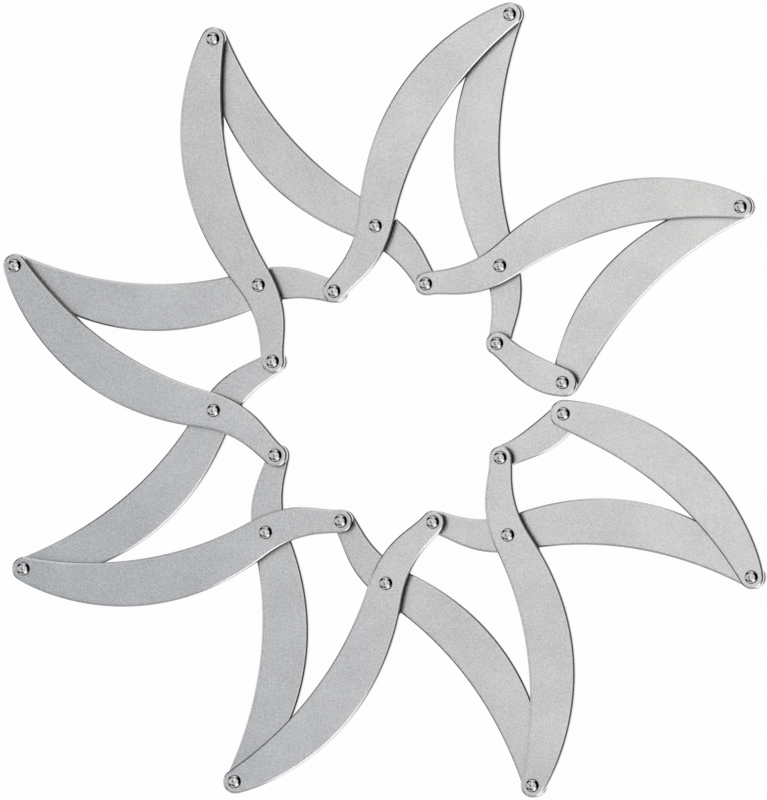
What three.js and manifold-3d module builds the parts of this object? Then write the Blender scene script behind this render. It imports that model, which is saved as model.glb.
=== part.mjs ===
import * as THREE from 'three';
import { mergeVertices } from 'three/addons/utils/BufferGeometryUtils.js';
import Module from 'manifold-3d';

// A folding metal trivet, in millimetres, with +Z up. It is drawn fully open, standing on
// the undersides of its rivets. Eighteen flat S-shaped strips lie in two layers, and
// twenty-five rivets join them into a ring of eight scissor petals. The ring stays open
// between its first and last middle rivets, on the +X side, so it closes up into a fan.

const wasm = await Module();
wasm.setup();

const degree = THREE.MathUtils.degToRad(1);

// The linkage
const petalCount = 8;
const longArm = 66;                   // outer rivet to middle rivet
const shortArm = 20.4;                // middle rivet to inner rivet
const endClearance = 1;               // between the ring's two loose ends when it is fully open
const foldTravel = 53 * degree;       // how far two crossed strips turn as the ring folds
const exactTurn = 43.4 * degree;      // turn at which the petals close exactly, as they do at rest

// Strips
const stripThickness = 2.5;
const edgeBreak = 0.3;                // chamfer along a strip's edges
const outerEndRadius = 3.05;
const innerEndRadius = 2.95;
const halfEndRadius = 3.6;            // round end of a half strip, at its middle rivet
const hollowWaist = { back: 4.5, height: 3.1, slope: 20 * degree };
const bellyWaist = { back: 1.1, height: 6, slope: 28.5 * degree };

// Where each edge leaves a strip's round ends, as an angle about that end's rivet
const hollowAngles = {
  outer: 72 * degree,
  halfLong: 103 * degree,
  halfShort: 118 * degree,
  inner: 86 * degree
};
const bellyAngles = {
  outer: -137 * degree,
  halfLong: -53.5 * degree,
  halfShort: -82.5 * degree,
  inner: -79.5 * degree
};

// How far each curve follows its tangent, as shares of the long and the short arm
const hollowReachShares = { outer: 0.39, waistBack: 0.244, waistAhead: 0.7, inner: 0.3 };
const bellyReachShares = { outer: 0.06, waistBack: 0.617, waistAhead: 0.616, inner: 0.15 };
const longHalfReachShares = { hollowOuter: 0.505, hollowEnd: 0.178, bellyOuter: 0.113, bellyEnd: 0.594 };
const shortHalfReachShares = { hollowEnd: 0.51, hollowInner: 0.27, bellyEnd: 0.93, bellyInner: 0.19 };

// Rivets
const shankRadius = 1;
const headRadius = 1.75;
const headHeight = 1;
const headCrownRadius = 0.5;          // small flat that wear leaves on top of a head
const collarRadius = 1.9;             // shoulder that keeps the two layers apart
const collarHeight = 0.3;
const footRadius = 2.3;               // flat head underneath, which the trivet stands on
const footHeight = 0.9;
const footBreak = 0.3;

// Clearances
const holeClearance = 0.15;           // round a shank, in a strip's hole
const runningGap = 0.2;               // above and below a lower strip
const cutOverrun = 1;

// How finely the round forms are divided
const longEdgeSteps = 7;
const shortEdgeSteps = 4;
const endSteps = 5;
const rivetSides = 12;
const domeSteps = 3;
const slotSteps = 12;
const gapTurns = 12;

// Levels above the table
const lowerStripLevel = footHeight + runningGap;
const collarLevel = lowerStripLevel + stripThickness + runningGap;
const upperStripLevel = collarLevel + collarHeight;
const headLevel = upperStripLevel + stripThickness;

// Angles of a ring that leaves a gap between its first and last middle rivets, as seen from
// its centre. A petal is a kite with its outer rivet outside and its inner rivet inside, so
// longArm * sin(outerAngle) equals shortArm * sin(innerAngle), and the difference of the two
// angles is the angle between neighbouring petals.
function ringWithGap(gap) {
  const petalAngle = (2 * Math.PI - gap) / petalCount;
  const outerAngle = Math.atan2(
    shortArm * Math.sin(petalAngle), longArm - shortArm * Math.cos(petalAngle)
  );
  const middleRingRadius = longArm * Math.sin(outerAngle) / Math.sin(petalAngle / 2);
  return { petalAngle, outerAngle, middleRingRadius };
}

// The ring opens until its loose ends nearly meet. The gap and the ring's radius depend on
// each other, so a few turns settle both.
let openGap = 0;
for (let i = 0; i < gapTurns; i += 1) {
  openGap = 2 * Math.asin((halfEndRadius + endClearance / 2) / ringWithGap(openGap).middleRingRadius);
}
const { petalAngle, outerAngle, middleRingRadius } = ringWithGap(openGap);
const innerAngle = outerAngle + petalAngle;
const kiteFoot = middleRingRadius * Math.cos(petalAngle / 2);
const outerRingRadius = kiteFoot + longArm * Math.cos(outerAngle);
const innerRingRadius = kiteFoot - shortArm * Math.cos(innerAngle);

// How far an outer rivet turns for each turn at a middle rivet. The joints keep this share,
// which takes a petal from one exact kite, at rest, to another.
const exactCrossing = outerAngle + innerAngle - exactTurn;
const exactOuterAngle = Math.atan2(
  shortArm * Math.sin(exactCrossing), longArm + shortArm * Math.cos(exactCrossing)
);
const outerTurnShare = 2 * (outerAngle - exactOuterAngle) / exactTurn;

const stripMetal = { color: 0xc3c2bf, roughness: 0.42, metalness: 1 };
const rivetMetal = { color: 0xcfcecb, roughness: 0.2, metalness: 1 };

function toSolid(geometry) {
  const bare = geometry.clone();
  bare.deleteAttribute('normal');
  bare.deleteAttribute('uv');
  const merged = mergeVertices(bare);
  return new wasm.Manifold(new wasm.Mesh({
    numProp: 3,
    vertProperties: new Float32Array(merged.attributes.position.array),
    triVerts: new Uint32Array(merged.index.array)
  }));
}

function toGeometry(solid) {
  const mesh = solid.getMesh();
  const indexed = new THREE.BufferGeometry();
  indexed.setAttribute('position', new THREE.BufferAttribute(mesh.vertProperties, mesh.numProp));
  indexed.setIndex(new THREE.BufferAttribute(mesh.triVerts, 1));
  const geometry = indexed.toNonIndexed();
  geometry.computeVertexNormals();
  return geometry;
}

function ringPoint(radius, angle) {
  return new THREE.Vector2(radius * Math.cos(angle), radius * Math.sin(angle));
}

// A strip is drawn with its middle rivet at zero, its outer rivet at -longArm on X and its
// inner rivet at +shortArm. A knot is a place that an edge passes, with its direction there.
// On the hollow edge side is 1, on the belly edge it is -1, and both run towards the inner end.

function endKnot(centreX, radius, angle, side, reach) {
  const point = ringPoint(radius, angle).add(new THREE.Vector2(centreX, 0));
  const direction = new THREE.Vector2(Math.sin(angle), -Math.cos(angle)).multiplyScalar(side);
  return { point, direction, reachBack: reach, reachAhead: reach };
}

function waistKnot(waist, side, reachBack, reachAhead) {
  const point = new THREE.Vector2(-waist.back, side * waist.height);
  return { point, direction: ringPoint(1, waist.slope), reachBack, reachAhead };
}

function edgeCurve(from, to) {
  const leave = from.point.clone().addScaledVector(from.direction, from.reachAhead);
  const arrive = to.point.clone().addScaledVector(to.direction, -to.reachBack);
  return new THREE.CubicBezierCurve(from.point, leave, arrive, to.point);
}

function edgePoints(knots, steps) {
  const points = [knots[0].point];
  steps.forEach((count, i) => points.push(...edgeCurve(knots[i], knots[i + 1]).getPoints(count).slice(1)));
  return points;
}

function roundEnd(centreX, radius, fromAngle, toAngle) {
  const arc = new THREE.EllipseCurve(centreX, 0, radius, radius, fromAngle, toAngle, false, 0);
  return arc.getPoints(endSteps).slice(1, -1);
}

// Joins the two edges and the two round ends into one closed outline.
function stripShape(left, right, hollowEdge, bellyEdge) {
  const rightEnd = roundEnd(right.x, right.radius, right.bellyAngle, right.hollowAngle);
  const leftEnd = roundEnd(left.x, left.radius, left.hollowAngle, left.bellyAngle + 2 * Math.PI);
  return new THREE.Shape([...bellyEdge, ...rightEnd, ...hollowEdge.slice().reverse(), ...leftEnd]);
}

const outerEnd = {
  x: -longArm, radius: outerEndRadius, hollowAngle: hollowAngles.outer, bellyAngle: bellyAngles.outer
};
const innerEnd = {
  x: shortArm, radius: innerEndRadius, hollowAngle: hollowAngles.inner, bellyAngle: bellyAngles.inner
};
const longHalfEnd = {
  x: 0, radius: halfEndRadius, hollowAngle: hollowAngles.halfLong, bellyAngle: bellyAngles.halfLong
};
const shortHalfEnd = {
  x: 0, radius: halfEndRadius, hollowAngle: hollowAngles.halfShort, bellyAngle: bellyAngles.halfShort
};

function hollowKnot(end, reach) {
  return endKnot(end.x, end.radius, end.hollowAngle, 1, reach);
}

function bellyKnot(end, reach) {
  return endKnot(end.x, end.radius, end.bellyAngle, -1, reach);
}

function fullStripShape() {
  const hollow = hollowReachShares;
  const belly = bellyReachShares;
  const hollowEdge = edgePoints([
    hollowKnot(outerEnd, hollow.outer * longArm),
    waistKnot(hollowWaist, 1, hollow.waistBack * longArm, hollow.waistAhead * shortArm),
    hollowKnot(innerEnd, hollow.inner * shortArm)
  ], [longEdgeSteps, shortEdgeSteps]);
  const bellyEdge = edgePoints([
    bellyKnot(outerEnd, belly.outer * longArm),
    waistKnot(bellyWaist, -1, belly.waistBack * longArm, belly.waistAhead * shortArm),
    bellyKnot(innerEnd, belly.inner * shortArm)
  ], [longEdgeSteps, shortEdgeSteps]);
  return stripShape(outerEnd, innerEnd, hollowEdge, bellyEdge);
}

function longHalfShape() {
  const reach = longHalfReachShares;
  const hollowEdge = edgePoints([
    hollowKnot(outerEnd, reach.hollowOuter * longArm),
    hollowKnot(longHalfEnd, reach.hollowEnd * longArm)
  ], [longEdgeSteps]);
  const bellyEdge = edgePoints([
    bellyKnot(outerEnd, reach.bellyOuter * longArm),
    bellyKnot(longHalfEnd, reach.bellyEnd * longArm)
  ], [longEdgeSteps]);
  return stripShape(outerEnd, longHalfEnd, hollowEdge, bellyEdge);
}

function shortHalfShape() {
  const reach = shortHalfReachShares;
  const hollowEdge = edgePoints([
    hollowKnot(shortHalfEnd, reach.hollowEnd * shortArm),
    hollowKnot(innerEnd, reach.hollowInner * shortArm)
  ], [shortEdgeSteps]);
  const bellyEdge = edgePoints([
    bellyKnot(shortHalfEnd, reach.bellyEnd * shortArm),
    bellyKnot(innerEnd, reach.bellyInner * shortArm)
  ], [shortEdgeSteps]);
  return stripShape(shortHalfEnd, innerEnd, hollowEdge, bellyEdge);
}

function roundHole(centreX) {
  const hole = new THREE.CylinderGeometry(
    shankRadius + holeClearance, shankRadius + holeClearance, stripThickness + 2 * cutOverrun, rivetSides
  );
  hole.rotateX(Math.PI / 2);
  hole.translate(centreX, 0, stripThickness / 2);
  return toSolid(hole);
}

// The joints turn at constant rates, but a true kite's angles don't, so the inner rivet
// wanders a little in the lower strip as the ring folds. These are the places that it takes,
// measured in the lower strip from its true centre.
function innerRivetPath() {
  const path = [];
  for (let i = 0; i <= slotSteps; i += 1) {
    const crossingTurn = foldTravel * i / slotSteps;
    const outer = outerAngle - outerTurnShare * crossingTurn / 2;
    const inner = outerAngle + innerAngle - crossingTurn - outer;
    const miss = 2 * (longArm * Math.sin(outer) - shortArm * Math.sin(inner));
    path.push(new THREE.Vector2(miss * Math.sin(inner), miss * Math.cos(inner)));
  }
  return path;
}

// The smallest convex outline round a set of points, anticlockwise.
function convexOutline(points) {
  const sorted = points.slice().sort((p, q) => p.x - q.x || p.y - q.y);
  const chain = (list) => {
    const kept = [];
    for (const point of list) {
      while (kept.length > 1 && turn(kept[kept.length - 2], kept[kept.length - 1], point) <= 0) {
        kept.pop();
      }
      kept.push(point);
    }
    return kept.slice(0, -1);
  };
  return [...chain(sorted), ...chain(sorted.slice().reverse())];
}

function turn(a, b, c) {
  return (b.x - a.x) * (c.y - a.y) - (b.y - a.y) * (c.x - a.x);
}

// The slot in a lower strip's inner end, where the pivot is left open.
function openPivotSlot() {
  const rim = new THREE.EllipseCurve(0, 0, shankRadius + holeClearance, shankRadius + holeClearance)
    .getPoints(rivetSides);
  const points = innerRivetPath().flatMap((place) => rim.map((point) => point.clone().add(place)));
  const slot = new THREE.ExtrudeGeometry(new THREE.Shape(convexOutline(points)), {
    depth: stripThickness + 2 * cutOverrun,
    bevelEnabled: false
  });
  slot.translate(shortArm, 0, -cutOverrun);
  return toSolid(slot);
}

function stripGeometry(shape, cuts) {
  const blank = new THREE.ExtrudeGeometry(shape, {
    depth: stripThickness - 2 * edgeBreak,
    bevelEnabled: true,
    bevelThickness: edgeBreak,
    bevelSize: edgeBreak,
    bevelOffset: -edgeBreak,
    bevelSegments: 1
  });
  blank.translate(0, 0, edgeBreak);
  return toGeometry(cuts.reduce((solid, cut) => solid.subtract(cut), toSolid(blank)));
}

// One turned profile: foot, shank, collar, shank again and domed head.
function rivetGeometry() {
  const profile = [
    [0, 0],
    [footRadius - footBreak, 0],
    [footRadius, footBreak],
    [footRadius, footHeight],
    [shankRadius, footHeight],
    [shankRadius, collarLevel],
    [collarRadius, collarLevel],
    [collarRadius, upperStripLevel],
    [shankRadius, upperStripLevel],
    [shankRadius, headLevel]
  ].map(([radius, level]) => new THREE.Vector2(radius, level));
  const crownAngle = Math.acos(headCrownRadius / headRadius);
  const domeRise = headHeight / Math.sin(crownAngle);
  for (let i = 0; i <= domeSteps; i += 1) {
    const angle = crownAngle * i / domeSteps;
    profile.push(new THREE.Vector2(headRadius * Math.cos(angle), headLevel + domeRise * Math.sin(angle)));
  }
  profile.push(new THREE.Vector2(0, headLevel + headHeight));
  const geometry = new THREE.LatheGeometry(profile, rivetSides);
  geometry.rotateX(Math.PI / 2);
  return toGeometry(toSolid(geometry));
}

const outerHole = roundHole(-longArm);
const middleHole = roundHole(0);
const innerHole = roundHole(shortArm);
const innerSlot = openPivotSlot();

const stripForms = {
  upperFull: stripGeometry(fullStripShape(), [outerHole, middleHole, innerHole]),
  upperLongHalf: stripGeometry(longHalfShape(), [outerHole, middleHole]),
  upperShortHalf: stripGeometry(shortHalfShape(), [middleHole, innerHole]),
  lowerFull: stripGeometry(fullStripShape(), [outerHole, middleHole, innerSlot]),
  lowerLongHalf: stripGeometry(longHalfShape(), [outerHole, middleHole]),
  lowerShortHalf: stripGeometry(shortHalfShape(), [middleHole, innerSlot])
};
const rivetForm = rivetGeometry();

const trivet = new THREE.Group();

function middleAngle(index) {
  return openGap / 2 + index * petalAngle;
}

// Direction of a strip from its outer to its inner rivet. Layer is 1 above and -1 below.
function stripDirection(index, layer) {
  return middleAngle(index) + Math.PI - layer * (petalAngle / 2 + outerAngle);
}

function addStrip(name, form, index, layer) {
  const strip = new THREE.Mesh(form, new THREE.MeshStandardMaterial(stripMetal));
  const place = ringPoint(middleRingRadius, middleAngle(index));
  strip.name = name;
  strip.position.set(place.x, place.y, layer > 0 ? upperStripLevel : lowerStripLevel);
  strip.rotation.z = stripDirection(index, layer);
  trivet.add(strip);
}

function addRivet(name, radius, angle) {
  const rivet = new THREE.Mesh(rivetForm, new THREE.MeshStandardMaterial(rivetMetal));
  const place = ringPoint(radius, angle);
  rivet.name = name;
  rivet.position.set(place.x, place.y, 0);
  rivet.rotation.z = angle;
  trivet.add(rivet);
}

for (let i = 1; i < petalCount; i += 1) {
  addStrip(`upper_strip_${i}`, stripForms.upperFull, i, 1);
  addStrip(`lower_strip_${i}`, stripForms.lowerFull, i, -1);
}
addStrip('upper_short_half', stripForms.upperShortHalf, 0, 1);
addStrip('lower_long_half', stripForms.lowerLongHalf, 0, -1);
addStrip('upper_long_half', stripForms.upperLongHalf, petalCount, 1);
addStrip('lower_short_half', stripForms.lowerShortHalf, petalCount, -1);

for (let i = 0; i <= petalCount; i += 1) {
  addRivet(`middle_rivet_${i}`, middleRingRadius, middleAngle(i));
}
for (let i = 1; i <= petalCount; i += 1) {
  const petalMiddle = middleAngle(i) - petalAngle / 2;
  addRivet(`outer_rivet_${i}`, outerRingRadius, petalMiddle);
  addRivet(`inner_rivet_${i}`, innerRingRadius, petalMiddle);
}

// The origin is the middle of the open trivet's outline, on the table.
const overall = new THREE.Box3().setFromObject(trivet);
const middle = overall.getCenter(new THREE.Vector3());
trivet.position.set(-middle.x, -middle.y, 0);

export default trivet;
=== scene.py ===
import math

import bmesh
import bpy
from mathutils import Matrix, Vector


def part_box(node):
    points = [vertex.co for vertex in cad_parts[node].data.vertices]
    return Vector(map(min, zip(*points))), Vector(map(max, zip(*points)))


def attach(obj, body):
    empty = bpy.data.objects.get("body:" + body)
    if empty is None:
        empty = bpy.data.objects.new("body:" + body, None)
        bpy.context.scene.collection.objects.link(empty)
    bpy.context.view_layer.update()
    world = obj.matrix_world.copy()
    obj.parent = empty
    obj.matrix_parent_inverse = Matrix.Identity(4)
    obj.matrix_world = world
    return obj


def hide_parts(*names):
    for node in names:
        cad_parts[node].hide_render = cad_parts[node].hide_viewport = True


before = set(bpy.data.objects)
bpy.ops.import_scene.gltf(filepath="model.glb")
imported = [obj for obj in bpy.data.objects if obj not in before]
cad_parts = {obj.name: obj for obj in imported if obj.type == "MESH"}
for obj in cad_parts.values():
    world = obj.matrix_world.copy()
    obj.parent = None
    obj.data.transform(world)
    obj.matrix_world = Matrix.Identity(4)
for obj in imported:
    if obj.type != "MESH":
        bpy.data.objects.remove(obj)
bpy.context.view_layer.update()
mm = 0.001
petalCount = 8
print("frame loaded:", len(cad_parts), "solids")


def addObject(name, data):
    made = bpy.data.objects.new(name, data)
    bpy.context.scene.collection.objects.link(made)
    return made


# Camera: the photo's view, from 12 degrees off straight above

cameraSettings = {
    "lens": 1000,
    "sensorWidth": 36,
    "clipStart": 0.01,
    "clipReach": 3,              # how far it sees, against its distance
    "pixelsPerMm": 3.81015,      # at the strips' tops
    "imageSize": (767, 800),
    "knownPoint": (1.587, -1.328, 6.6),      # the ring's centre, in mm
    "knownPixel": (388.25, 404.3),
    "right": (0.97749601, -0.02920433, -0.20892259),
    "up": (0.03408519, 0.99922279, 0.01979924),
}


def makeCamera(settings):
    right = Vector(settings["right"]).normalized()
    up = Vector(settings["up"]).normalized()
    towards = right.cross(up).normalized()
    width, height = settings["imageSize"]
    scale = settings["pixelsPerMm"] / mm
    x, y = settings["knownPixel"]
    aim = Vector(settings["knownPoint"]) * mm
    aim += right * ((width / 2 - x) / scale) + up * ((y - height / 2) / scale)
    data = bpy.data.cameras.new("camera")
    data.lens = settings["lens"]
    data.sensor_width = settings["sensorWidth"]
    data.sensor_fit = "AUTO"
    distance = data.lens * (height / scale) / data.sensor_width
    data.clip_start = settings["clipStart"]
    data.clip_end = distance * settings["clipReach"]
    turned = Matrix((right, up, towards)).transposed().to_4x4()
    camera = addObject("camera", data)
    camera.matrix_world = Matrix.Translation(aim + towards * distance) @ turned
    bpy.context.scene.camera = camera


makeCamera(cameraSettings)
bpy.context.scene.view_settings.view_transform = "Standard"
print("camera set")


# Nodes: small helpers for trees and materials

def addNode(tree, kind, inputs=None, **properties):
    node = tree.nodes.new(kind)
    for name, value in properties.items():
        setattr(node, name, value)
    for name, value in (inputs or {}).items():
        if isinstance(value, bpy.types.NodeSocket):
            tree.links.new(value, node.inputs[name])
        else:
            node.inputs[name].default_value = value
    return node


def mathNode(tree, operation, *values):
    return addNode(tree, "ShaderNodeMath", dict(enumerate(values)), operation=operation).outputs[0]


def vectorNode(tree, operation, inputs, output="Vector"):
    return addNode(tree, "ShaderNodeVectorMath", inputs, operation=operation).outputs[output]


def rangeNode(tree, value, low, high, toLow, toHigh, smooth=False):
    node = addNode(tree, "ShaderNodeMapRange", {
        "Value": value, "From Min": low, "From Max": high, "To Min": toLow, "To Max": toHigh,
    }, interpolation_type="SMOOTHSTEP" if smooth else "LINEAR")
    return node.outputs["Result"]


def mixColours(tree, share, first, second):
    return addNode(tree, "ShaderNodeMix", {"Factor": share, 6: first, 7: second},
                   data_type="RGBA").outputs[2]


def mixValues(tree, share, first, second):
    return addNode(tree, "ShaderNodeMix", {"Factor": share, 2: first, 3: second},
                   data_type="FLOAT").outputs[0]


def newTree(name, sockets):
    tree = bpy.data.node_groups.new(name, "GeometryNodeTree")
    tree.interface.new_socket(name="Geometry", in_out="OUTPUT", socket_type="NodeSocketGeometry")
    identifiers = {}
    for socketName, kind in sockets:
        socket = tree.interface.new_socket(name=socketName, in_out="INPUT", socket_type=kind)
        identifiers[socketName] = socket.identifier
    return tree, identifiers, addNode(tree, "NodeGroupInput"), addNode(tree, "NodeGroupOutput")


def runTree(carrier, tree, identifiers, values, name):
    modifier = carrier.modifiers.new(tree.name, "NODES")
    modifier.node_group = tree
    for socketName, value in values.items():
        modifier[identifiers[socketName]] = value
    bpy.context.view_layer.update()
    graph = bpy.context.evaluated_depsgraph_get()
    mesh = bpy.data.meshes.new_from_object(carrier.evaluated_get(graph), depsgraph=graph)
    mesh.name = name
    carrier.modifiers.remove(modifier)
    return addObject(name, mesh)


# Writes to each point how far the surface there leans away from level, from 0 to 1
def storeAway(tree, geometry):
    normal = addNode(tree, "GeometryNodeInputNormal").outputs[0]
    rise = addNode(tree, "ShaderNodeSeparateXYZ", {0: normal}).outputs[2]
    away = mathNode(tree, "SUBTRACT", 1.0, mathNode(tree, "ABSOLUTE", rise))
    return addNode(tree, "GeometryNodeStoreNamedAttribute", {
        "Geometry": geometry, "Name": "away", "Value": away,
    }, data_type="FLOAT", domain="POINT").outputs[0]


def finishTree(tree, geometry, metal, finish):
    real = addNode(tree, "GeometryNodeRealizeInstances", {"Geometry": geometry}).outputs[0]
    coated = addNode(tree, "GeometryNodeSetMaterial", {"Geometry": real, "Material": metal})
    tree.links.new(coated.outputs[0], finish.inputs[0])


# Metals. An away range says between which leans, 0 level and 1 upright, one look turns into
# the next.

faceSettings = {
    "colour": (0.691, 0.689, 0.702, 1),
    "darkColour": (0.478, 0.478, 0.492, 1),
    # The corner and wall colours are painted shade: darker than the face, they stand in for the
    # dark lines at the edges and the shade where one strip lies over another
    "cornerShadeColour": (0.53, 0.53, 0.535, 1),
    "wallShadeColour": (0.45, 0.45, 0.45, 1),
    "roughness": 0.3,
    "cornerRoughness": 0.06,
    "wallRoughness": 0.12,
    "polishAway": (0.005, 0.06),     # satin to polished
    "cornerShadeAway": (0.08, 0.3),       # face colour to painted corner shade
    "wallAway": (0.75, 0.95),        # corner to wall: painted wall shade and wall roughness
    "grainSize": 0.5 * mm,
    "grainDetail": (3.0, 0.6),       # detail and roughness of the noise
    "patchSize": 14 * mm,
    "patchDetail": (3.0, 0.55),
    "grainShare": 0.75,
    "mottleRange": (0.35, 0.65),     # noise levels of the dark and the light colour
    "satinRange": (0.3, 0.7),
    "satinSpread": (-0.03, 0.04),    # added to the roughness at those levels
    "pitSpacing": 3.4 * mm,
    "pitRadius": 0.16 * mm,
    "pitCore": 0.4,                  # the part of the radius that is fully dark
    "pitAbove": 0.8,                 # cells with a value above this one have a pit
    "pitColour": (0.16, 0.155, 0.15, 1),
    "pitShare": 0.8,
    "pitDepth": 1.5,                 # against the grain's
    "grainBump": 0.012 * mm,
    "bumpStrength": (1.0, 0.15),     # on satin and on polished metal
}


def objectCoordinates(tree):
    return addNode(tree, "ShaderNodeTexCoord").outputs["Object"]


def noise(tree, place, size, detail, roughness):
    return addNode(tree, "ShaderNodeTexNoise", {
        "Vector": place, "Scale": 1 / size, "Detail": detail, "Roughness": roughness,
    }).outputs[0]


def readAway(tree):
    return addNode(tree, "ShaderNodeAttribute", attribute_name="away").outputs["Fac"]


def newMaterial(name):
    material = bpy.data.materials.new(name)
    material.use_nodes = True
    tree = material.node_tree
    tree.nodes.clear()
    return material, tree


def metalSurface(tree, colour, rough, bump):
    shader = addNode(tree, "ShaderNodeBsdfPrincipled", {
        "Base Color": colour, "Metallic": 1.0, "Roughness": rough, "Normal": bump.outputs[0],
    })
    addNode(tree, "ShaderNodeOutputMaterial", {"Surface": shader.outputs[0]})


def stripMetal(settings):
    material, tree = newMaterial("satinStripMetal")
    place = objectCoordinates(tree)
    away = readAway(tree)
    polish = rangeNode(tree, away, *settings["polishAway"], 0, 1, smooth=True)
    corner = rangeNode(tree, away, *settings["cornerShadeAway"], 0, 1, smooth=True)
    wall = rangeNode(tree, away, *settings["wallAway"], 0, 1, smooth=True)
    grain = noise(tree, place, settings["grainSize"], *settings["grainDetail"])
    patches = noise(tree, place, settings["patchSize"], *settings["patchDetail"])
    mottle = mathNode(tree, "ADD", mathNode(tree, "MULTIPLY", grain, settings["grainShare"]),
                      mathNode(tree, "MULTIPLY", patches, 1 - settings["grainShare"]))
    shade = rangeNode(tree, mottle, *settings["mottleRange"], 0, 1)

    # Small pits, in some of the cells only
    cellSize = settings["pitSpacing"]
    cells = addNode(tree, "ShaderNodeTexVoronoi", {
        "Vector": place, "Scale": 1 / cellSize, "Randomness": 1.0,
    }, feature="F1").outputs
    pitReach = settings["pitRadius"] / cellSize
    pit = rangeNode(tree, cells["Distance"], pitReach * settings["pitCore"], pitReach, 1, 0,
                    smooth=True)
    cellValue = addNode(tree, "ShaderNodeSeparateColor", {"Color": cells["Color"]}).outputs[0]
    chosen = mathNode(tree, "GREATER_THAN", cellValue, settings["pitAbove"])
    pit = mathNode(tree, "MULTIPLY", pit, chosen)

    face = mixColours(tree, shade, settings["darkColour"], settings["colour"])
    pitted = mixColours(tree, mathNode(tree, "MULTIPLY", pit, settings["pitShare"]),
                        face, settings["pitColour"])
    # Painted shade: rounded edges and upright walls are darkened in place of the dark edge lines
    # and the shade where strips cross
    edge = mixColours(tree, wall, settings["cornerShadeColour"], settings["wallShadeColour"])
    colour = mixColours(tree, corner, pitted, edge)

    satin = rangeNode(tree, grain, *settings["satinRange"],
                      *(settings["roughness"] + more for more in settings["satinSpread"]))
    edgeRough = rangeNode(tree, wall, 0, 1, settings["cornerRoughness"], settings["wallRoughness"])
    rough = mixValues(tree, polish, satin, edgeRough)

    height = mathNode(tree, "SUBTRACT", grain,
                      mathNode(tree, "MULTIPLY", pit, settings["pitDepth"]))
    bump = addNode(tree, "ShaderNodeBump", {
        "Height": height, "Strength": rangeNode(tree, polish, 0, 1, *settings["bumpStrength"]),
        "Distance": settings["grainBump"],
    })
    metalSurface(tree, colour, rough, bump)
    return material


rivetFinish = {
    "colour": (0.62, 0.62, 0.615, 1),
    "darkColour": (0.42, 0.42, 0.42, 1),
    # The near-black rim colour is painted shade round the foot of the head
    "rimShadeColour": (0.05, 0.05, 0.05, 1),
    "rimShadeAway": (0.12, 0.3),          # head colour to painted rim shade
    "roughness": 0.03,
    "markSize": 0.5 * mm,
    "markDetail": (3.0, 0.55),       # detail and roughness of the noise
    "markShade": (0.35, 0.6),        # noise levels of the dark and the light colour
    "roughRange": (0.3, 0.7),
    "roughSpread": (-0.01, 0.02),    # added to the roughness at those levels
    "markBump": 0.005 * mm,
}


def rivetMetal(settings):
    material, tree = newMaterial("polishedRivetMetal")
    place = objectCoordinates(tree)
    marks = noise(tree, place, settings["markSize"], *settings["markDetail"])
    colour = mixColours(tree, rangeNode(tree, marks, *settings["markShade"], 0, 1),
                        settings["darkColour"], settings["colour"])
    # Painted shade: the head's steep rim turns near black, standing in for the shadow and dark
    # reflections round its foot
    rimShade = rangeNode(tree, readAway(tree), *settings["rimShadeAway"], 0, 1, smooth=True)
    colour = mixColours(tree, rimShade, colour, settings["rimShadeColour"])
    rough = rangeNode(tree, marks, *settings["roughRange"],
                      *(settings["roughness"] + more for more in settings["roughSpread"]))
    bump = addNode(tree, "ShaderNodeBump", {
        "Height": marks, "Strength": 1.0, "Distance": settings["markBump"],
    })
    metalSurface(tree, colour, rough, bump)
    return material


satinStripMetal = stripMetal(faceSettings)
polishedRivetMetal = rivetMetal(rivetFinish)
print("metals mixed")


# Places: rivets stand where the frame's rivets stand, and strips lie between them

def rivetPlace(kind, index):
    low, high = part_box(f"{kind}_rivet_{index}")
    return Vector(((low.x + high.x) / 2, (low.y + high.y) / 2, 0))


def stripPlace(layer, index):
    middle = rivetPlace("middle", index)
    outerIndex = index if layer == "upper" else index + 1
    innerIndex = index + 1 if layer == "upper" else index
    if 1 <= outerIndex <= petalCount:
        along = middle - rivetPlace("outer", outerIndex)
    else:
        along = rivetPlace("inner", innerIndex) - middle
    return middle, math.atan2(along.y, along.x)


# Strips: a flat outline in mm, with the middle rivet at zero, the outer one at -longArm on X
# and the inner one at +shortArm. Ends are (x, radius, from angle, to angle), anticlockwise,
# and an edge is (reach, waist, reach), with a waist as (x, y, slope, reach back, reach ahead).

stripSettings = {
    "longArm": 66,
    "shortArm": 20.4,
    "full": {
        "right": (20.4, 2.95, -79.5, 86.2),
        "left": (-66, 3.05, 72.05, 223.1),
        "hollow": (6.06, (-4.468, 3.099, 200.15, 14.35, 16.12), 25.73),
        "belly": (3.96, (-1.077, -6.027, 28.47, 40.75, 12.56), 3.04),
    },
    "long": {
        "right": (0, 3.6, -53.5, 102.9),
        "left": (-66, 3.05, 72.05, 223.1),
        "hollow": (11.73, None, 33.34),
        "belly": (7.46, None, 39.21),
    },
    "short": {
        "right": (20.4, 2.95, -79.5, 86.2),
        "left": (0, 3.6, 118, 277.4),
        "hollow": (5.56, None, 10.38),
        "belly": (19.0, None, 3.91),
    },
    "holeRadius": 1.15,
    "holeArcs": 4,
    "slot": ((-0.84, -0.9), (0.31, 1.04), 1.3),      # from, to, radius, round the inner rivet
    "curveSteps": 48,        # between two knots of an outline
    "edgeArcs": ((5.0, 3, 3), (0.45, 22, 3), (1.3, 31, 2), (0.1, 54, 2), (0.7, 90, 5)),
    "edgeReach": 0.08,       # the rounded edges stand this far outside the plain outline
    "spacing": 0.4,
    "longestHole": 16,       # round its edge; longer loops are outlines
    "overrun": 0.5,
    "mergeWithin": 0.002,
}


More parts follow.
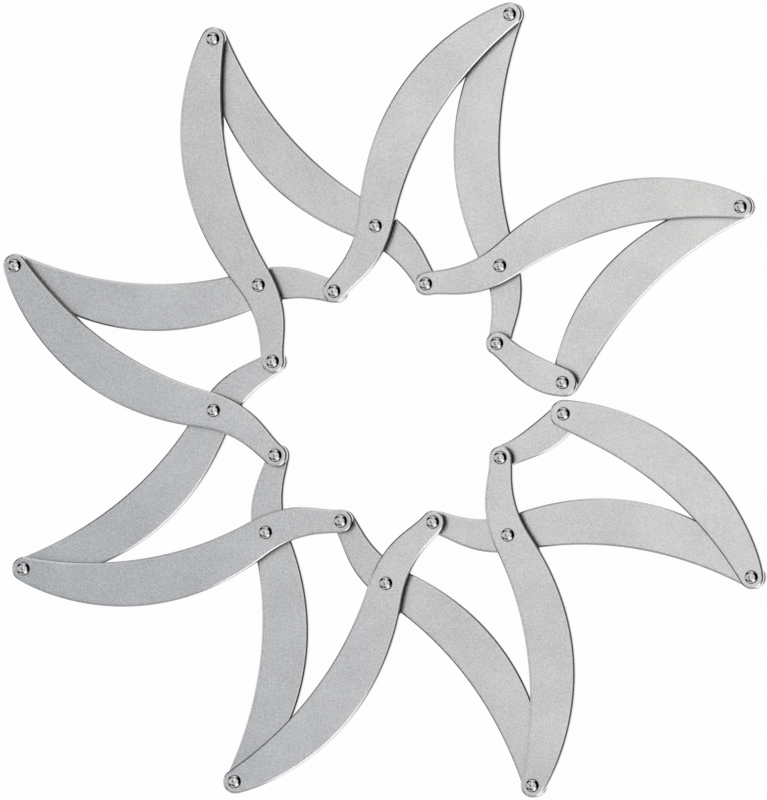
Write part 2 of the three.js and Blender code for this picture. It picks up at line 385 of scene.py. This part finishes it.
# A surface that falls away more and more: arcs are (radius, slope at the end, steps),
# and points are (distance outwards, drop). A radius of 0 makes a crease.
def fallingPoints(arcs):
    points = [(0, 0)]
    slope = 0
    for radius, endSlope, steps in arcs:
        x, y = points[-1]
        endSlope = math.radians(endSlope)
        for i in range(1, steps + 1):
            angle = slope + (endSlope - slope) * i / steps
            points.append((x + radius * (math.sin(angle) - math.sin(slope)),
                           y + radius * (math.cos(slope) - math.cos(angle))))
        slope = endSlope
    return points


# Knots are [place, direction, reach back, reach ahead]
def arcKnots(centre, radius, fromAngle, toAngle, count=2):
    turn = math.radians(toAngle - fromAngle) / count
    reach = 4 / 3 * math.tan(turn / 4) * radius
    knots = []
    for i in range(count + 1):
        angle = math.radians(fromAngle) + turn * i
        along = Vector((math.cos(angle), math.sin(angle)))
        knots.append([Vector(centre) + along * radius, Vector((-along.y, along.x)), reach, reach])
    return knots


def waistKnots(waist):
    if waist is None:
        return []
    x, y, slope, back, ahead = waist
    angle = math.radians(slope)
    return [[Vector((x, y)), Vector((math.cos(angle), math.sin(angle))), back, ahead]]


def outlineKnots(form):
    x, radius, fromAngle, toAngle = form["right"]
    right = arcKnots((x, 0), radius, fromAngle, toAngle)
    x, radius, fromAngle, toAngle = form["left"]
    left = arcKnots((x, 0), radius, fromAngle, toAngle)
    right[-1][3], hollowWaist, left[0][2] = form["hollow"]
    left[-1][3], bellyWaist, right[0][2] = form["belly"]
    return right + waistKnots(hollowWaist) + left + waistKnots(bellyWaist)


def slotKnots(start, end, radius):
    start, end = Vector(start), Vector(end)
    side = (end - start).length / 3
    heading = math.degrees(math.atan2(end.y - start.y, end.x - start.x))
    atEnd = arcKnots(end, radius, heading - 90, heading + 90)
    atStart = arcKnots(start, radius, heading + 90, heading + 270)
    for arc in (atEnd, atStart):
        arc[0][2] = arc[-1][3] = side
    return atEnd + atStart


def addLoop(curve, knots, steps):
    spline = curve.splines.new("BEZIER")
    spline.bezier_points.add(len(knots) - 1)
    spline.use_cyclic_u = True
    spline.resolution_u = steps
    for point, (place, along, back, ahead) in zip(spline.bezier_points, knots):
        point.handle_left_type = point.handle_right_type = "FREE"
        point.co = (place * mm).to_3d()
        point.handle_left = ((place - along * back) * mm).to_3d()
        point.handle_right = ((place + along * ahead) * mm).to_3d()


def addCurve(name):
    curve = bpy.data.curves.new(name, "CURVE")
    curve.dimensions = "3D"
    return addObject(name, curve)


def stripOutline(length, layer, settings):
    carrier = addCurve(f"{length}{layer}Outline")
    longArm, shortArm = settings["longArm"], settings["shortArm"]
    holes = {"full": (-longArm, 0, shortArm), "long": (-longArm, 0), "short": (0, shortArm)}
    loops = [outlineKnots(settings[length])]
    for x in holes[length]:
        if layer == "lower" and x == shortArm:
            start, end, radius = settings["slot"]
            shift = Vector((x, 0))
            loops.append(slotKnots(Vector(start) + shift, Vector(end) + shift, radius))
        else:
            hole = arcKnots((x, 0), settings["holeRadius"], 0, 360, settings["holeArcs"])
            loops.append(hole[:-1])
    for knots in loops:
        addLoop(carrier.data, knots, settings["curveSteps"])
    return carrier


def addSection(name, points):
    carrier = addCurve(name)
    spline = carrier.data.splines.new("POLY")
    spline.points.add(len(points) - 1)
    for point, (x, y) in zip(spline.points, points):
        point.co = (x * mm, -y * mm, 0, 1)
    return carrier


# The section of a rounded edge, that of a hole, and how far inside the outline the first starts
def stripSections(thickness, settings):
    fall = fallingPoints(settings["edgeArcs"])
    overrun = settings["overrun"]
    edge = addSection("edgeSection", [(x, thickness - y) for x, y in fall] + fall[::-1])
    hole = addSection("holeSection", [(0, thickness + overrun), (0, -overrun)])
    return edge, hole, fall[-1][0] - settings["edgeReach"]


def stripTree(mergeWithin):
    tree, identifiers, start, finish = newTree("riveted strip", [
        ("Outline", "NodeSocketGeometry"),
        ("Edge section", "NodeSocketObject"),
        ("Hole section", "NodeSocketObject"),
        ("Inset", "NodeSocketFloat"),
        ("Thickness", "NodeSocketFloat"),
        ("Overrun", "NodeSocketFloat"),
        ("Spacing", "NodeSocketFloat"),
        ("Longest hole", "NodeSocketFloat"),
        ("Place", "NodeSocketVector"),
        ("Turn", "NodeSocketFloat"),
        ("Metal", "NodeSocketMaterial"),
    ])
    given = start.outputs
    evenly = addNode(tree, "GeometryNodeResampleCurve", {
        "Curve": given["Outline"], "Length": given["Spacing"],
    }, mode="LENGTH")
    isHole = addNode(tree, "FunctionNodeCompare", {
        0: addNode(tree, "GeometryNodeSplineLength").outputs["Length"], 1: given["Longest hole"],
    }, data_type="FLOAT", operation="LESS_THAN")
    apart = addNode(tree, "GeometryNodeSeparateGeometry", {
        "Geometry": evenly.outputs[0], "Selection": isHole.outputs[0],
    }, domain="CURVE")

    tangent = addNode(tree, "GeometryNodeInputTangent").outputs[0]
    inwards = vectorNode(tree, "CROSS_PRODUCT", {0: (0, 0, 1), 1: tangent})
    inset = addNode(tree, "GeometryNodeSetPosition", {
        "Geometry": apart.outputs["Inverted"],
        "Offset": vectorNode(tree, "SCALE", {0: inwards, "Scale": given["Inset"]}),
    }).outputs[0]

    def swept(loops, sectionName):
        section = addNode(tree, "GeometryNodeObjectInfo", {"Object": given[sectionName]})
        level = addNode(tree, "GeometryNodeSetCurveNormal", {"Curve": loops}, mode="Z_UP")
        return addNode(tree, "GeometryNodeCurveToMesh", {
            "Curve": level.outputs[0], "Profile Curve": section.outputs["Geometry"],
        }).outputs[0]

    def closed(loops, sectionName, low, high):
        wall = addNode(tree, "GeometryNodeSetShadeSmooth", {
            "Geometry": storeAway(tree, swept(loops, sectionName)), "Shade Smooth": True,
        }).outputs[0]
        flat = addNode(tree, "GeometryNodeSetShadeSmooth", {
            "Geometry": addNode(tree, "GeometryNodeFillCurve", {"Curve": loops}).outputs[0],
            "Shade Smooth": False,
        }).outputs[0]
        bottom, top = (addNode(tree, "GeometryNodeTransform", {
            "Geometry": flat,
            "Translation": addNode(tree, "ShaderNodeCombineXYZ", {"Z": level}).outputs[0],
        }).outputs[0] for level in (low, high))
        bottom = addNode(tree, "GeometryNodeFlipFaces", {"Mesh": bottom}).outputs[0]
        joined = addNode(tree, "GeometryNodeJoinGeometry")
        for part in (wall, bottom, top):
            tree.links.new(part, joined.inputs[0])
        return addNode(tree, "GeometryNodeMergeByDistance", {
            "Geometry": joined.outputs[0], "Distance": mergeWithin,
        }).outputs[0]

    # Holes are cut right through, so their cutters stand out of the strip on both sides
    thickness, overrun = given["Thickness"], given["Overrun"]
    blank = closed(inset, "Edge section", 0.0, thickness)
    cutters = closed(apart.outputs["Selection"], "Hole section",
                     mathNode(tree, "MULTIPLY", overrun, -1.0),
                     mathNode(tree, "ADD", thickness, overrun))
    drilled = addNode(tree, "GeometryNodeMeshBoolean", {"Mesh 1": blank, "Mesh 2": cutters},
                      operation="DIFFERENCE", solver="EXACT").outputs["Mesh"]

    turn = addNode(tree, "ShaderNodeCombineXYZ", {"Z": given["Turn"]}).outputs[0]
    placed = addNode(tree, "GeometryNodeTransform", {
        "Geometry": drilled, "Translation": given["Place"], "Rotation": turn,
    }).outputs[0]
    finishTree(tree, placed, given["Metal"], finish)
    return tree, identifiers


def makeStrips(settings, metal):
    tree, identifiers = stripTree(settings["mergeWithin"] * mm)
    low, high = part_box("upper_strip_1")
    edgeSection, holeSection, inset = stripSections((high.z - low.z) / mm, settings)
    outlines = {}
    for layer in ("upper", "lower"):
        for index in range(petalCount + 1):
            longEnd = (index == petalCount) == (layer == "upper")
            isHalf = index in (0, petalCount)
            length = ("long" if longEnd else "short") if isHalf else "full"
            node = f"{layer}_{length}_half" if isHalf else f"{layer}_strip_{index}"
            if (length, layer) not in outlines:
                outlines[length, layer] = stripOutline(length, layer, settings)
            middle, turn = stripPlace(layer, index)
            low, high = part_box(node)
            piece = runTree(outlines[length, layer], tree, identifiers, {
                "Edge section": edgeSection,
                "Hole section": holeSection,
                "Inset": inset * mm,
                "Thickness": high.z - low.z,
                "Overrun": settings["overrun"] * mm,
                "Spacing": settings["spacing"] * mm,
                "Longest hole": settings["longestHole"] * mm,
                "Place": (middle.x, middle.y, low.z),
                "Turn": turn,
                "Metal": metal,
            }, f"strip_{layer}_{index}")
            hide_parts(node)
            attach(piece, f"{layer}_{index}")
    for carrier in [*outlines.values(), edgeSection, holeSection]:
        bpy.data.objects.remove(carrier)
    print("strips made:", 2 * (petalCount + 1))


makeStrips(stripSettings, satinStripMetal)


# Rivets: one turned form, set on each body's rivet places, in mm

rivetSettings = {
    "footRadius": 2.3,
    "footBreak": 0.25,         # radius of the foot's rounded edge
    "footSteps": 6,
    "shankRadius": 1.0,
    "collarRadius": 1.9,
    "headRadius": 1.75,
    "headArcs": ((3.1, 23, 6), (3.0, 32, 3), (0, 56, 1), (0.85, 90, 6)),
    "sides": 48,
    "sharpFrom": 20,           # degrees between faces
    "mergeWithin": 0.001,
    "footHeight": 0.9,
    "collarLevel": 3.8,
    "stripLevel": 4.1,
    "headLevel": 6.6,
    "seed": 7,
}


def rivetProfile(settings, height):
    foot, edge = settings["footRadius"], settings["footBreak"]
    shank, collar = settings["shankRadius"], settings["collarRadius"]
    steps = settings["footSteps"]
    points = [(0, 0), (foot - edge, 0)]
    for i in range(1, steps + 1):
        angle = math.pi / 2 * i / steps
        points.append((foot - edge + edge * math.sin(angle), edge - edge * math.cos(angle)))
    points += [
        (foot, settings["footHeight"]), (shank, settings["footHeight"]),
        (shank, settings["collarLevel"]), (collar, settings["collarLevel"]),
        (collar, settings["stripLevel"]), (shank, settings["stripLevel"]),
        (shank, settings["headLevel"]),
    ]
    fall = fallingPoints(settings["headArcs"])
    wide = fall[-1][0]
    points.append((settings["headRadius"], settings["headLevel"]))
    points += [(x * settings["headRadius"] / wide, height - y) for x, y in reversed(fall)]
    return points


def turnedMesh(name, profile, settings):
    form = bmesh.new()
    verts = [form.verts.new((x * mm, 0, y * mm)) for x, y in profile]
    edges = [form.edges.new(pair) for pair in zip(verts, verts[1:])]
    bmesh.ops.spin(form, geom=verts + edges, axis=(0, 0, 1), cent=(0, 0, 0),
                   angle=2 * math.pi, steps=settings["sides"], use_merge=True)
    bmesh.ops.remove_doubles(form, verts=form.verts, dist=settings["mergeWithin"] * mm)
    bmesh.ops.recalc_face_normals(form, faces=form.faces)
    for face in form.faces:
        face.smooth = True
    sharp = math.radians(settings["sharpFrom"])
    for edge in form.edges:
        if len(edge.link_faces) == 2 and edge.calc_face_angle() > sharp:
            edge.smooth = False
    mesh = bpy.data.meshes.new(name)
    form.to_mesh(mesh)
    form.free()
    return addObject(name, mesh)


def rivetTree():
    tree, identifiers, start, finish = newTree("set rivets", [
        ("Places", "NodeSocketGeometry"),
        ("Rivet", "NodeSocketObject"),
        ("Seed", "NodeSocketInt"),
        ("Metal", "NodeSocketMaterial"),
    ])
    given = start.outputs
    form = addNode(tree, "GeometryNodeObjectInfo", {"Object": given["Rivet"]}).outputs["Geometry"]
    form = storeAway(tree, form)
    spin = addNode(tree, "FunctionNodeRandomValue", {
        2: 0.0, 3: 2 * math.pi, "Seed": given["Seed"],
    }, data_type="FLOAT").outputs[1]
    turn = addNode(tree, "ShaderNodeCombineXYZ", {"Z": spin}).outputs[0]
    row = addNode(tree, "GeometryNodeInstanceOnPoints", {
        "Points": given["Places"], "Instance": form, "Rotation": turn,
    }).outputs[0]
    finishTree(tree, row, given["Metal"], finish)
    return tree, identifiers


def makeRivets(settings, metal):
    tree, identifiers = rivetTree()
    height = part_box("middle_rivet_1")[1].z / mm
    form = turnedMesh("rivetForm", rivetProfile(settings, height), settings)
    for index in range(petalCount + 1):
        names = [f"middle_rivet_{index}"]
        if index > 0:
            names.append(f"outer_rivet_{index}")
        if index < petalCount:
            names.append(f"inner_rivet_{index + 1}")
        mesh = bpy.data.meshes.new("rivetPlaces")
        mesh.from_pydata([rivetPlace(*name.split("_rivet_")) for name in names], [], [])
        carrier = addObject("rivetPlaces", mesh)
        piece = runTree(carrier, tree, identifiers, {
            "Rivet": form, "Seed": settings["seed"] + index, "Metal": metal,
        }, f"rivets_{index}")
        bpy.data.objects.remove(carrier)
        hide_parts(*names)
        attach(piece, f"upper_{index}")
    bpy.data.objects.remove(form)
    print("rivets made:", 3 * petalCount + 1)


makeRivets(rivetSettings, polishedRivetMetal)


# Floor, soft light and surroundings

studioSettings = {
    "floorSize": (6, 6),
    "floorDrop": 0.05 * mm,        # how far it lies under the rivets' feet
    "floorColour": (0.93, 0.93, 0.93, 1),
    "floorWhite": 0.97,            # share of the floor's look that is plain white
    "cameraLean": 0.213,           # tangent of the camera's angle off straight above
    "cardSize": (1.5, 1.5),
    "cardPlace": (-0.8, 0.05, 1.1),
    "cardDim": (0.18, 0.26, 0.37, 1),        # its light towards the lower left
    "cardBright": (1.85, 1.77, 1.6, 1),      # and towards the upper right
    "cardReach": 0.2,              # metres from its middle tone to either end
    "cardTilt": 0.28,              # rise of the brightness along Y for each along X
    "cardPlain": (0.95, 0.95, 0.94, 1),
    "cardPlainFrom": (0.3, 0.55),  # metres from its middle tone where it turns plain
    "deepFrom": 1.5,               # a first reflection counts 1 and a second one counts 2
    "deepShade": 0.45,             # how light the surroundings are in a second reflection
    "lensDirection": (0.18, 0.18),          # X and Y of a dark spot that second ones show
    "lensAngle": (42, 66),         # fully dark inside the first, gone beyond the second
    "lensShade": 0.0,
    # From here, headings run anticlockwise from +X and heights up from level, in degrees
    "flags": [                     # heading and brightness
        (0, 0.0), (60, 0.0), (72, 0.5), (82, 1.0), (104, 1.0), (114, 0.02), (148, 0.02),
        (162, 0.5), (175, 0.7), (188, 0.5), (200, 0.2), (210, 0.03), (240, 0.03), (250, 0.3),
        (274, 0.45), (284, 0.8), (310, 0.8), (320, 0.3), (334, 0.02), (359, 0.0),
    ],
    # Where they fade in, out, in again for the band above, and out again
    "flagRise": ((-72, -60), (-4, 2), (35, 39), (56, 60)),
    "tableLight": 1.25,            # below the flags, which the walls mirror
    "stands": ((145, 25), (208, 20)),       # heading and height of two dark ones
    "standWidth": (11, 17),        # fully dark inside the first, gone beyond the second
    "windowHeading": 296,          # of a bright upright window
    "windowWidth": (10, 17),       # to either side, where it fades
    "windowRise": ((-50, -20), (62, 74)),    # where it fades in, and out
    "windowLight": 1.7,
}


def addSheet(name, size, corners):
    x, y = size[0] / 2, size[1] / 2
    mesh = bpy.data.meshes.new(name)
    mesh.from_pydata([(-x, -y, 0), (x, -y, 0), (x, y, 0), (-x, y, 0)], [], [corners])
    return addObject(name, mesh)


# Paper that looks white to the camera, isn't mirrored and is clear from below
def makeFloor(settings):
    floor = addSheet("floor", settings["floorSize"], (0, 1, 2, 3))
    floor.location.z = -settings["floorDrop"]
    floor.visible_glossy = False
    material, tree = newMaterial("palePaper")
    seen = addNode(tree, "ShaderNodeLightPath").outputs["Is Camera Ray"]
    paper = addNode(tree, "ShaderNodeBsdfDiffuse", {"Color": settings["floorColour"]})
    white = addNode(tree, "ShaderNodeEmission", {"Color": (1, 1, 1, 1), "Strength": 1.0})
    mixed = addNode(tree, "ShaderNodeMixShader", {
        0: mathNode(tree, "MULTIPLY", seen, settings["floorWhite"]),
        1: paper.outputs[0], 2: white.outputs[0],
    })
    behind = addNode(tree, "ShaderNodeNewGeometry").outputs["Backfacing"]
    clear = addNode(tree, "ShaderNodeBsdfTransparent")
    sided = addNode(tree, "ShaderNodeMixShader", {
        0: behind, 1: mixed.outputs[0], 2: clear.outputs[0],
    })
    addNode(tree, "ShaderNodeOutputMaterial", {"Surface": sided.outputs[0]})
    floor.data.materials.append(material)


# Rays that have been mirrored twice or more
def isDeep(tree, count, settings):
    depth = addNode(tree, "ShaderNodeLightPath").outputs[count]
    return mathNode(tree, "GREATER_THAN", depth, settings["deepFrom"])


# A large soft card on the left, which the faces mirror; it is brighter towards the upper right
def makeCard(settings):
    card = addSheet("softCard", settings["cardSize"], (0, 3, 2, 1))
    card.location = settings["cardPlace"]
    card.visible_camera = False
    material, tree = newMaterial("softCardLight")
    place = addNode(tree, "ShaderNodeNewGeometry").outputs["Position"]
    alongX, alongY, _ = addNode(tree, "ShaderNodeSeparateXYZ", {0: place}).outputs
    # The middle of the object mirrors the card here
    height = settings["cardPlace"][2]
    mirrored = -height * settings["cameraLean"]
    gain = mathNode(tree, "ADD", mathNode(tree, "SUBTRACT", alongX, mirrored),
                    mathNode(tree, "MULTIPLY", alongY, settings["cardTilt"]))
    reach = settings["cardReach"]
    colour = mixColours(tree, rangeNode(tree, gain, -reach, reach, 0, 1),
                        settings["cardDim"], settings["cardBright"])
    distance = vectorNode(tree, "DISTANCE", {0: place, 1: (mirrored, 0, height)}, "Value")
    plain = rangeNode(tree, distance, *settings["cardPlainFrom"], 0, 1, smooth=True)
    colour = mixColours(tree, plain, colour, settings["cardPlain"])
    deep = isDeep(tree, "Ray Depth", settings)
    light = addNode(tree, "ShaderNodeEmission", {
        "Color": colour, "Strength": rangeNode(tree, deep, 0, 1, 1, settings["deepShade"]),
    })
    addNode(tree, "ShaderNodeOutputMaterial", {"Surface": light.outputs[0]})
    card.data.materials.append(material)


def unitVector(heading, height=0):
    heading, height = math.radians(heading), math.radians(height)
    level = math.cos(height)
    return math.cos(heading) * level, math.sin(heading) * level, math.sin(height)


# A round spot about a direction: one value inside the first angle and one beyond the second
def spotNode(tree, direction, other, angles, inside, outside):
    nearness = vectorNode(tree, "DOT_PRODUCT", {0: direction, 1: other}, "Value")
    near, far = (math.cos(math.radians(angle)) for angle in angles)
    return rangeNode(tree, nearness, far, near, outside, inside, smooth=True)


def makeFlags(tree, heading, stops):
    ramp = addNode(tree, "ShaderNodeValToRGB", {"Fac": heading})
    elements = ramp.color_ramp.elements
    while len(elements) < len(stops):
        elements.new(0.5)
    for element, (angle, level) in zip(elements, stops):
        element.position = angle / 360
        element.color = (level, level, level, 1)
    return ramp.outputs[0]


# Surroundings: white, with dark flags below the table's level and in a band above it, two dark
# stands and a bright window. What is mirrored twice is dimmer and has a dark spot overhead.
def makeWorld(settings):
    world = bpy.data.worlds.new("studio")
    world.use_nodes = True
    world.cycles.sampling_method = "NONE"
    tree = world.node_tree
    tree.nodes.clear()
    direction = addNode(tree, "ShaderNodeTexCoord").outputs["Generated"]
    x, y, z = addNode(tree, "ShaderNodeSeparateXYZ", {0: direction}).outputs
    heading = mathNode(tree, "DIVIDE", mathNode(tree, "ARCTAN2", y, x), 2 * math.pi)
    heading = mathNode(tree, "FRACT", mathNode(tree, "ADD", heading, 1.0))
    flags = makeFlags(tree, heading, settings["flags"])
    elevation = mathNode(tree, "ARCSINE", z)

    def rises(lowEnd, highEnd):
        return rangeNode(tree, elevation, math.radians(lowEnd), math.radians(highEnd), 0, 1,
                         smooth=True)

    below, horizon, bandFoot, bandTop = (rises(*ends) for ends in settings["flagRise"])
    flagged = mathNode(tree, "SUBTRACT", mathNode(tree, "ADD", below, bandFoot),
                       mathNode(tree, "ADD", horizon, bandTop))
    plain = rangeNode(tree, below, 0, 1, settings["tableLight"], 1.0)
    first = mixValues(tree, flagged, plain, flags)

    for stand in settings["stands"]:
        shade = spotNode(tree, direction, unitVector(*stand), settings["standWidth"], 0, 1)
        first = mathNode(tree, "MULTIPLY", first, shade)

    facing = settings["windowHeading"]
    ahead, across = (vectorNode(tree, "DOT_PRODUCT", {0: direction, 1: unitVector(angle)}, "Value")
                     for angle in (facing, facing + 90))
    sides = (math.sin(math.radians(angle)) for angle in settings["windowWidth"])
    window = rangeNode(tree, mathNode(tree, "ABSOLUTE", across), *sides, 1, 0, smooth=True)
    window = mathNode(tree, "MULTIPLY", window, mathNode(tree, "GREATER_THAN", ahead, 0.0))
    foot, top = (rises(*ends) for ends in settings["windowRise"])
    window = mathNode(tree, "MULTIPLY", window, mathNode(tree, "SUBTRACT", foot, top))
    first = mixValues(tree, window, first, settings["windowLight"])

    lensX, lensY = settings["lensDirection"]
    lens = (lensX, lensY, math.sqrt(1 - lensX ** 2 - lensY ** 2))
    second = spotNode(tree, direction, lens, settings["lensAngle"],
                      settings["lensShade"], settings["deepShade"])
    second = mathNode(tree, "MULTIPLY", second, mathNode(tree, "MINIMUM", first, 1.0))
    level = mixValues(tree, isDeep(tree, "Glossy Depth", settings), first, second)
    isCamera = addNode(tree, "ShaderNodeLightPath").outputs["Is Camera Ray"]
    background = addNode(tree, "ShaderNodeBackground", {
        "Color": (1, 1, 1, 1), "Strength": mixValues(tree, isCamera, level, 1.0),
    })
    addNode(tree, "ShaderNodeOutputWorld", {"Surface": background.outputs[0]})
    bpy.context.scene.world = world


makeFloor(studioSettings)
makeCard(studioSettings)
makeWorld(studioSettings)
print("studio lit")
